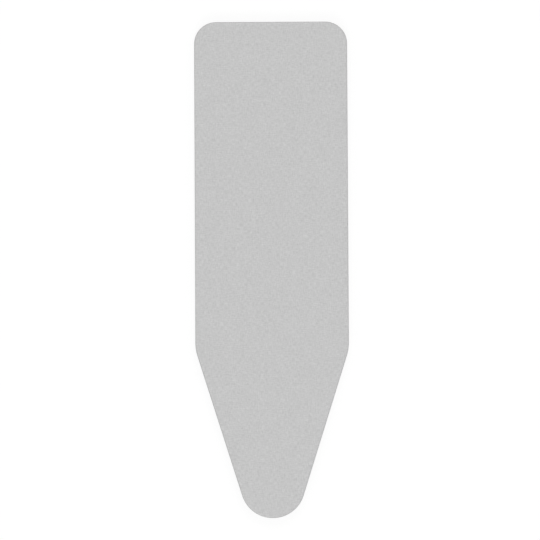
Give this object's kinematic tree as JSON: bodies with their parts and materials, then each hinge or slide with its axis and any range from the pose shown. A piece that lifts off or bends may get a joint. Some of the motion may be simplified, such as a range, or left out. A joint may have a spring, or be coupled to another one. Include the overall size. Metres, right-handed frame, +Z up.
{
  "type": "ironing board cover",
  "caption": "Padded silver-grey cover for an ironing board with a square end and a tapered nose, drawn tight under the board by an elastic cord in its hem, a cord lock and hooked straps.",
  "frame": {"origin": "middle of the plan outline, on the surface that the cover rests on", "axes": "+Z up out of the ironing face, +Y to the square end, -Y to the nose"},
  "size_m": [0.385, 1.244, 0.0405],
  "materials": {
    "metallised_cotton": "metallised cotton, satin silver-grey",
    "foam": "open-cell foam",
    "felt": "needled felt",
    "tape": "woven tape",
    "cord": "braided elastic",
    "lock": "moulded, satin",
    "button": "moulded, satin",
    "spring_steel": "drawn wire",
    "strap": "woven elastic",
    "hook": "moulded, semi-gloss"
  },
  "bodies": {
    "cover": {"top_cover": "metallised_cotton", "foam_layer": "foam", "felt_layer": "felt", "hem_binding": "tape", "hem_binding_end_left": "tape", "hem_binding_end_right": "tape", "draw_cord": "cord", "cord_knot": "cord", "strap_wide_end": "strap", "strap_shoulder": "strap", "hook_wide_end_left": "hook", "hook_wide_end_right": "hook", "hook_shoulder_left": "hook", "hook_shoulder_right": "hook"},
    "cord_lock": {"cord_lock_body": "lock", "cord_lock_spring": "spring_steel"},
    "lock_plunger": {"cord_lock_plunger": "button"}
  },
  "joints": [
    {"name": "cord_lock_slide", "type": "slide", "parent": "cover", "child": "cord_lock", "axis": [0, -1, 0], "range_m": [0, 0.055]},
    {"name": "plunger_press", "type": "slide", "parent": "cord_lock", "child": "lock_plunger", "axis": [-1, 0, 0], "range_m": [0, 0.0035], "stiffness_N_per_m": 1000, "springref_m": -0.003, "deforming": ["cord_lock_spring"]}
  ]
}
